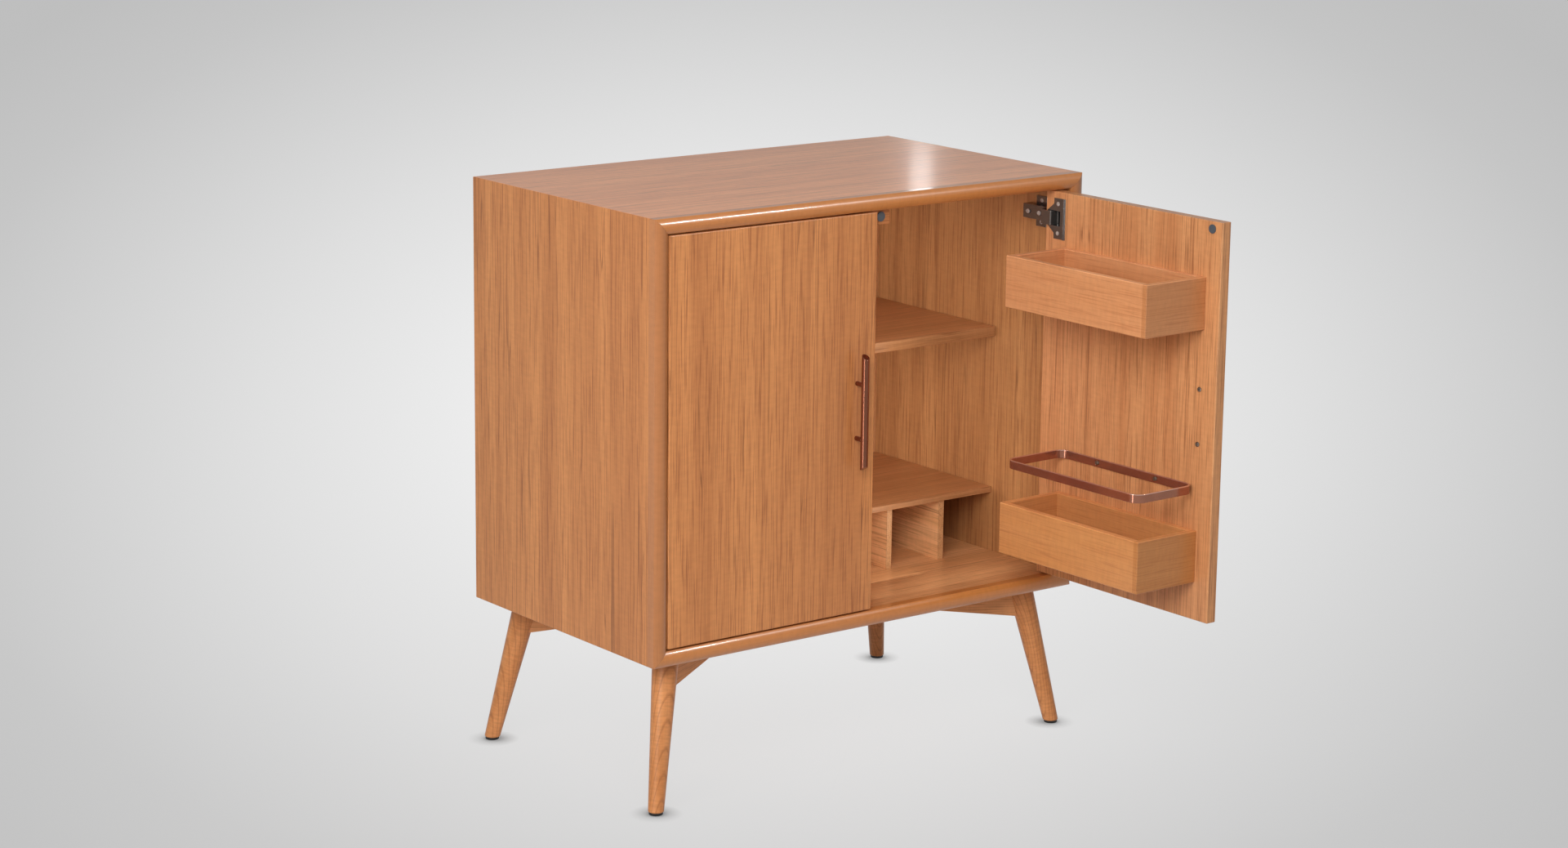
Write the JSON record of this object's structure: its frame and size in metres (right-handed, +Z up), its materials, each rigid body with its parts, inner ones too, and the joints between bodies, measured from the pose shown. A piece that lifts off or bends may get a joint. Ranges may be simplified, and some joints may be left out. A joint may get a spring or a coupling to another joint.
{
  "type": "bar cabinet",
  "caption": "Free-standing wooden bar cabinet with inset hinged doors, door bins, bottle rails, shelves, bottle bays and a hanging glass rack on splayed tapered legs.",
  "frame": {"origin": "on the floor, at the middle of the plan of the whole cabinet with the right door open", "axes": "+Z up, the doors face -Y, +X to the right as seen from the front"},
  "size_m": [0.813, 0.8326, 0.8915],
  "materials": {
    "wood_veneer": "satin lacquer, straight grain",
    "solid_wood": "satin lacquer",
    "light_wood": "satin lacquer, fine grain",
    "bronze": "satin, antique copper",
    "dark_nickel": "dark nickel plate",
    "steel": "zinc plate",
    "magnet": "dark slate",
    "glide_plastic": "matte black"
  },
  "bodies": {
    "case": {"back_panel": "wood_veneer", "back_panel_screws": "steel", "bottle_dividers": "wood_veneer", "bottom_front_moulding": "solid_wood", "bottom_panel": "wood_veneer", "catch_block": "solid_wood", "catch_magnets": "magnet", "cross_beam_lower": "solid_wood", "cross_beam_screws": "steel", "cross_beam_upper": "solid_wood", "foot_glides": "glide_plastic", "front_left_leg": "solid_wood", "front_right_leg": "solid_wood", "glass_rack_screws": "steel", "glass_rack_strips": "solid_wood", "glass_rack_webs": "solid_wood", "hinge_arm_screws": "steel", "hinge_arms": "dark_nickel", "hinge_plate_screws": "steel", "hinge_plates": "dark_nickel", "left_side_front_moulding": "solid_wood", "left_side_panel": "wood_veneer", "leg_bolts": "steel", "leg_dowels": "light_wood", "lower_shelf": "wood_veneer", "rear_left_leg": "solid_wood", "rear_right_leg": "solid_wood", "right_side_front_moulding": "solid_wood", "right_side_panel": "wood_veneer", "shelf_dowels": "light_wood", "top_front_moulding": "solid_wood", "top_panel": "wood_veneer", "upper_shelf": "wood_veneer"},
    "left_door": {"left_bin_dowels": "light_wood", "left_bottle_rail": "bronze", "left_door": "wood_veneer", "left_handle_bar": "bronze", "left_handle_posts": "bronze", "left_handle_screws": "steel", "left_hinge_cup_screws": "steel", "left_hinge_cups": "dark_nickel", "left_hinge_pins": "steel", "left_lower_bin": "light_wood", "left_rail_screws": "bronze", "left_strike_disc": "steel", "left_upper_bin": "light_wood"},
    "right_door": {"right_bin_dowels": "light_wood", "right_bottle_rail": "bronze", "right_door": "wood_veneer", "right_handle_bar": "bronze", "right_handle_posts": "bronze", "right_handle_screws": "steel", "right_hinge_cup_screws": "steel", "right_hinge_cups": "dark_nickel", "right_hinge_pins": "steel", "right_lower_bin": "light_wood", "right_rail_screws": "bronze", "right_strike_disc": "steel", "right_upper_bin": "light_wood"}
  },
  "joints": [
    {"name": "left_door_hinge", "type": "hinge", "parent": "case", "child": "left_door", "pos_m": [-0.365, -0.05251, 0.5605], "axis": [0, 0, -1], "range_deg": [0, 100]},
    {"name": "right_door_hinge", "type": "hinge", "parent": "case", "child": "right_door", "pos_m": [0.365, -0.05251, 0.5605], "axis": [0, 0, 1], "range_deg": [-91, 9]}
  ]
}
